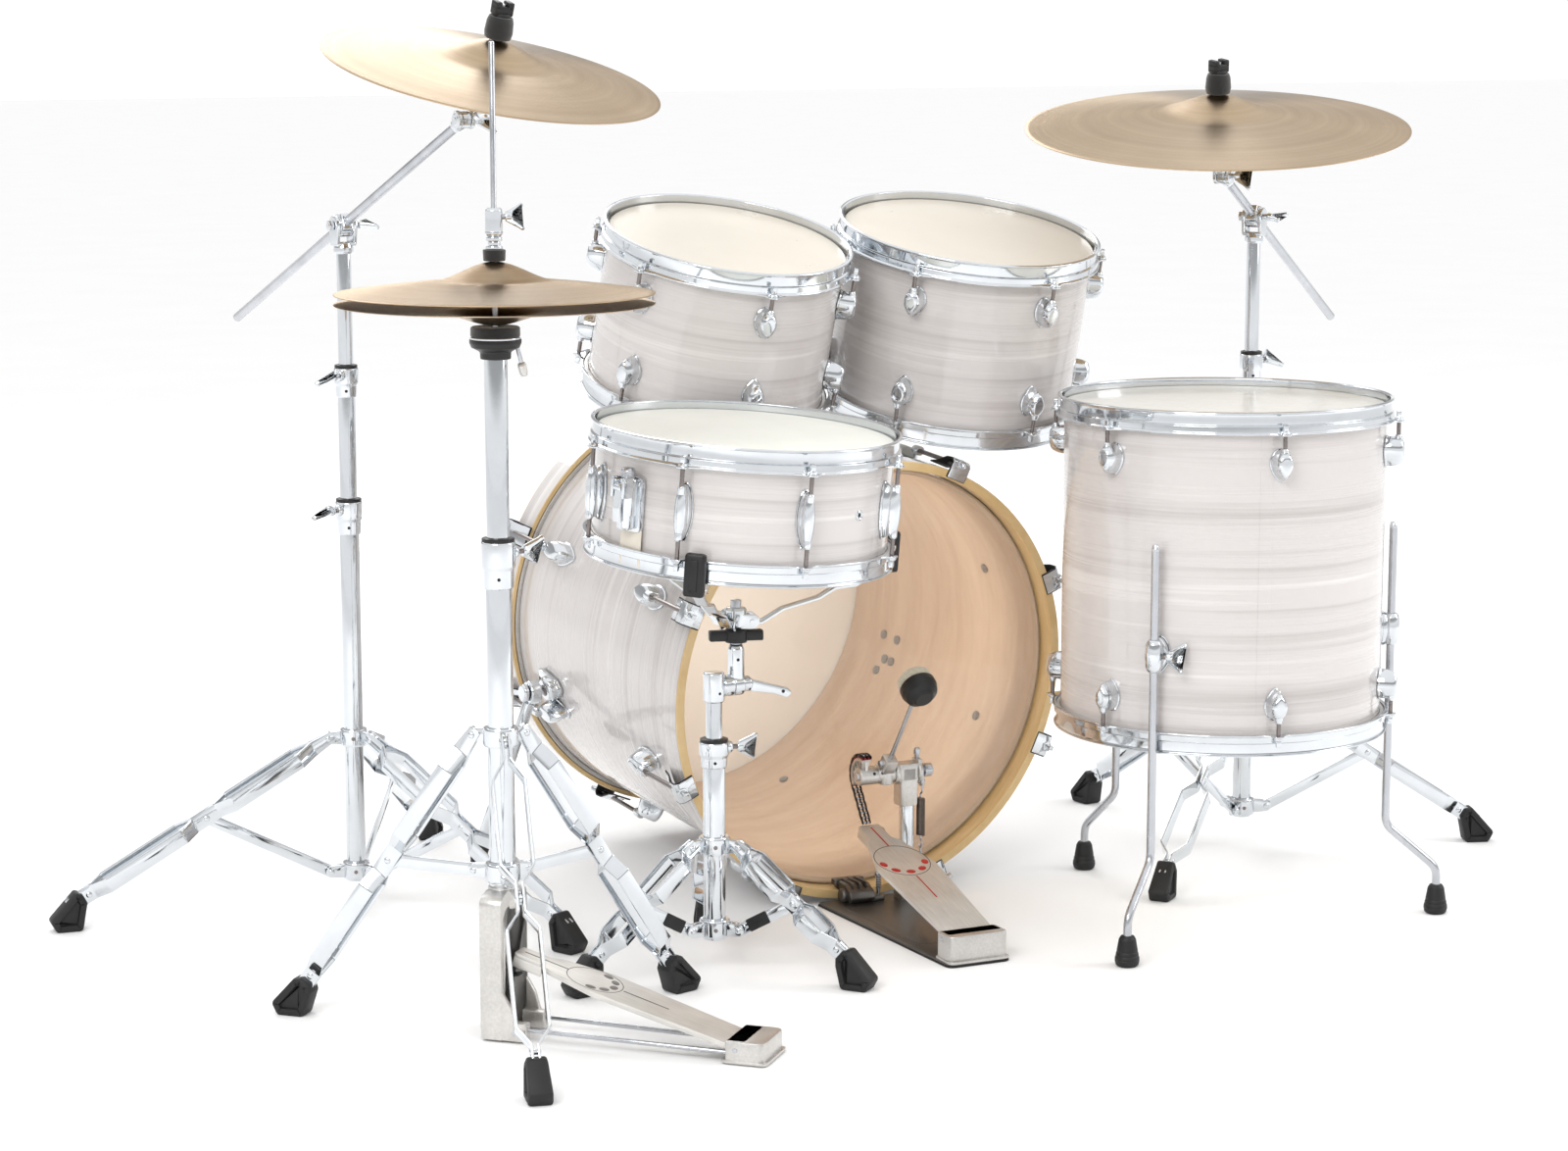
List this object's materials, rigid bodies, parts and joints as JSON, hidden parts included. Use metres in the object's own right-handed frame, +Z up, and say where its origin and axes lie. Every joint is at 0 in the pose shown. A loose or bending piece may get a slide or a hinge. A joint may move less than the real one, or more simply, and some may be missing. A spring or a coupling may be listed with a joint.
{
  "type": "acoustic drum kit",
  "caption": "Acoustic drum kit: bass drum, rack toms, floor tom and snare with cymbals on tripod boom stands, hi-hat and foot pedals, in a glossy pearl wrap.",
  "frame": {"origin": "on the floor, at the middle of the kit's bounding box", "axes": "+Y along the bass drum from the player to the audience, +X to the player's right, +Z up"},
  "size_m": [1.9271, 1.2354, 1.1689],
  "materials": {
    "wrap": "glossy pearl wrap with fine bands",
    "drum_head": "translucent film",
    "wood_hoop": "lacquered maple edges, wrapped outside",
    "bronze": "lathed bronze",
    "pedal_steel": "dark grey",
    "pedal_alloy": "satin cast",
    "chain": "black",
    "spring": "dull",
    "rubber": "moulded",
    "satin_steel": "satin",
    "chrome": "polished"
  },
  "bodies": {
    "root": {"bass_shell": "wrap", "bass_hoops": "wood_hoop", "bass_heads": "drum_head", "bass_lugs": "chrome", "bass_claws": "chrome", "drum_leg_brackets": "chrome", "tom_holder": "chrome", "floor_tom_shell": "wrap", "floor_tom_hoops": "chrome", "floor_tom_heads": "drum_head", "floor_tom_lugs": "chrome", "snare_tripod": "chrome", "hihat_tripod": "chrome", "hihat_frame": "pedal_alloy", "crash_tripod": "chrome", "ride_tripod": "chrome", "kick_frame": "pedal_steel", "kick_chain": "chain", "kick_spring": "spring", "rubber_feet": "rubber"},
    "spur_left": {"spur_left": "chrome"},
    "spur_right": {"spur_right": "chrome"},
    "floor_leg_1": {"floor_leg_1": "satin_steel"},
    "floor_leg_2": {"floor_leg_2": "satin_steel"},
    "floor_leg_3": {"floor_leg_3": "satin_steel"},
    "tom_left": {"tom_left_shell": "wrap", "tom_left_hoops": "chrome", "tom_left_heads": "drum_head", "tom_left_lugs": "chrome", "tom_left_mount": "chrome"},
    "tom_right": {"tom_right_shell": "wrap", "tom_right_hoops": "chrome", "tom_right_heads": "drum_head", "tom_right_lugs": "chrome", "tom_right_mount": "chrome"},
    "snare_upper": {"snare_upper_tube": "chrome"},
    "snare_basket": {"snare_basket": "chrome", "snare_shell": "wrap", "snare_hoops": "chrome", "snare_heads": "drum_head", "snare_lugs": "chrome", "snare_strainer": "chrome"},
    "snare_lever": {"snare_lever": "chrome"},
    "hihat_upper": {"hihat_upper_tube": "chrome", "hihat_bottom_cymbal": "bronze"},
    "hihat_rod": {"hihat_rod": "chrome", "hihat_top_cymbal": "bronze"},
    "hihat_footboard": {"hihat_footboard": "pedal_alloy"},
    "crash_mid": {"crash_mid_tube": "chrome"},
    "crash_upper": {"crash_upper_tube": "chrome"},
    "crash_boom": {"crash_boom": "satin_steel"},
    "crash_tilter": {"crash_tilter": "chrome"},
    "crash_cymbal": {"crash_cymbal": "bronze"},
    "ride_mid": {"ride_mid_tube": "chrome"},
    "ride_upper": {"ride_upper_tube": "chrome"},
    "ride_boom": {"ride_boom": "satin_steel"},
    "ride_tilter": {"ride_tilter": "chrome"},
    "ride_cymbal": {"ride_cymbal": "bronze"},
    "kick_footboard": {"kick_footboard": "pedal_alloy"},
    "kick_beater": {"kick_beater": "chrome"}
  },
  "joints": [
    {"name": "spur_left_fold", "type": "hinge", "parent": "root", "child": "spur_left", "pos_m": [-0.2807, 0.3284, 0.2488], "axis": [1, 0, 0], "range_deg": [0, 70]},
    {"name": "spur_right_fold", "type": "hinge", "parent": "root", "child": "spur_right", "pos_m": [0.3145, 0.3284, 0.2488], "axis": [1, 0, 0], "range_deg": [0, 70]},
    {"name": "floor_leg_1_slide", "type": "slide", "parent": "root", "child": "floor_leg_1", "axis": [0, 0, 1], "range_m": [-0.1, 0.06]},
    {"name": "floor_leg_2_slide", "type": "slide", "parent": "root", "child": "floor_leg_2", "axis": [0, 0, 1], "range_m": [-0.1, 0.06]},
    {"name": "floor_leg_3_slide", "type": "slide", "parent": "root", "child": "floor_leg_3", "axis": [0, 0, 1], "range_m": [-0.1, 0.06]},
    {"name": "tom_left_tilt", "type": "hinge", "parent": "root", "child": "tom_left", "pos_m": [-0.0091, 0.227, 0.705], "axis": [1, 0, 0], "range_deg": [-8, 2]},
    {"name": "tom_right_tilt", "type": "hinge", "parent": "root", "child": "tom_right", "pos_m": [0.0609, 0.227, 0.7], "axis": [1, 0, 0], "range_deg": [-8, 1]},
    {"name": "snare_height", "type": "slide", "parent": "root", "child": "snare_upper", "axis": [0, 0, 1], "range_m": [0, 0.03]},
    {"name": "snare_tilt", "type": "hinge", "parent": "snare_upper", "child": "snare_basket", "pos_m": [-0.3021, -0.23, 0.352], "axis": [1, 0, 0], "range_deg": [-2, 2]},
    {"name": "snare_throw_off", "type": "hinge", "parent": "snare_basket", "child": "snare_lever", "pos_m": [-0.48733, -0.2979, 0.61345], "axis": [-0.269, 0.9602, 0.0753], "range_deg": [0, 70]},
    {"name": "hihat_height", "type": "slide", "parent": "root", "child": "hihat_upper", "axis": [0, 0, 1], "range_m": [-0.05, 0.08]},
    {"name": "hihat_rod_pull", "type": "slide", "parent": "hihat_upper", "child": "hihat_rod", "axis": [0, 0, 1], "range_m": [-0.0095, 0]},
    {"name": "hihat_pedal_press", "type": "hinge", "parent": "root", "child": "hihat_footboard", "pos_m": [-0.47407, -0.56071, 0.017], "axis": [-0.7593, -0.6508, 0], "range_deg": [0, 1.8], "stiffness_Nm_per_rad": 40, "springref_deg": -8.59},
    {"name": "crash_height_low", "type": "slide", "parent": "root", "child": "crash_mid", "axis": [0, 0, 1], "range_m": [-0.1, 0.15]},
    {"name": "crash_height_top", "type": "slide", "parent": "crash_mid", "child": "crash_upper", "axis": [0, 0, 1], "range_m": [-0.1, 0.15]},
    {"name": "crash_boom_tilt", "type": "hinge", "parent": "crash_upper", "child": "crash_boom", "pos_m": [-0.5671, 0.292, 0.886], "axis": [0.9988, 0.0493, 0], "range_deg": [-20, 12]},
    {"name": "crash_cymbal_tilt", "type": "hinge", "parent": "crash_boom", "child": "crash_tilter", "pos_m": [-0.5511, -0.032, 1.027], "axis": [0.9988, 0.0493, 0], "range_deg": [-15, 15]},
    {"name": "crash_spin", "type": "hinge", "parent": "crash_tilter", "child": "crash_cymbal", "pos_m": [-0.5256, -0.065, 1.104], "axis": [0.0691, -0.2616, 0.9627], "continuous": true},
    {"name": "ride_height_low", "type": "slide", "parent": "root", "child": "ride_mid", "axis": [0, 0, 1], "range_m": [-0.02, 0.15]},
    {"name": "ride_height_top", "type": "slide", "parent": "ride_mid", "child": "ride_upper", "axis": [0, 0, 1], "range_m": [-0.02, 0.15]},
    {"name": "ride_boom_tilt", "type": "hinge", "parent": "ride_upper", "child": "ride_boom", "pos_m": [0.6329, -0.039, 0.878], "axis": [0.5133, -0.8582, 0], "range_deg": [-18, 5]},
    {"name": "ride_cymbal_tilt", "type": "hinge", "parent": "ride_boom", "child": "ride_tilter", "pos_m": [0.5309, -0.1, 0.938], "axis": [0.5133, -0.8582, 0], "range_deg": [-10, 10]},
    {"name": "ride_spin", "type": "hinge", "parent": "ride_tilter", "child": "ride_cymbal", "pos_m": [0.5131, -0.1079, 1.0276], "axis": [-0.1041, -0.1433, 0.9842], "continuous": true},
    {"name": "kick_pedal_press", "type": "hinge", "parent": "root", "child": "kick_footboard", "pos_m": [-0.03143, -0.35276, 0.032], "axis": [-0.9962, 0.0872, 0], "range_deg": [0, 11]},
    {"name": "kick_beater_swing", "type": "hinge", "parent": "root", "child": "kick_beater", "pos_m": [-0.00598, -0.06187, 0.175], "axis": [0.9962, -0.0872, 0], "range_deg": [-38, 0], "stiffness_Nm_per_rad": 1.5, "springref_deg": 20.05}
  ],
  "couplings": [
    {"joint": "kick_beater_swing", "follows": "kick_pedal_press", "ratio": -3.4},
    {"joint": "hihat_rod_pull", "follows": "hihat_pedal_press", "m_per_rad": -0.274}
  ]
}
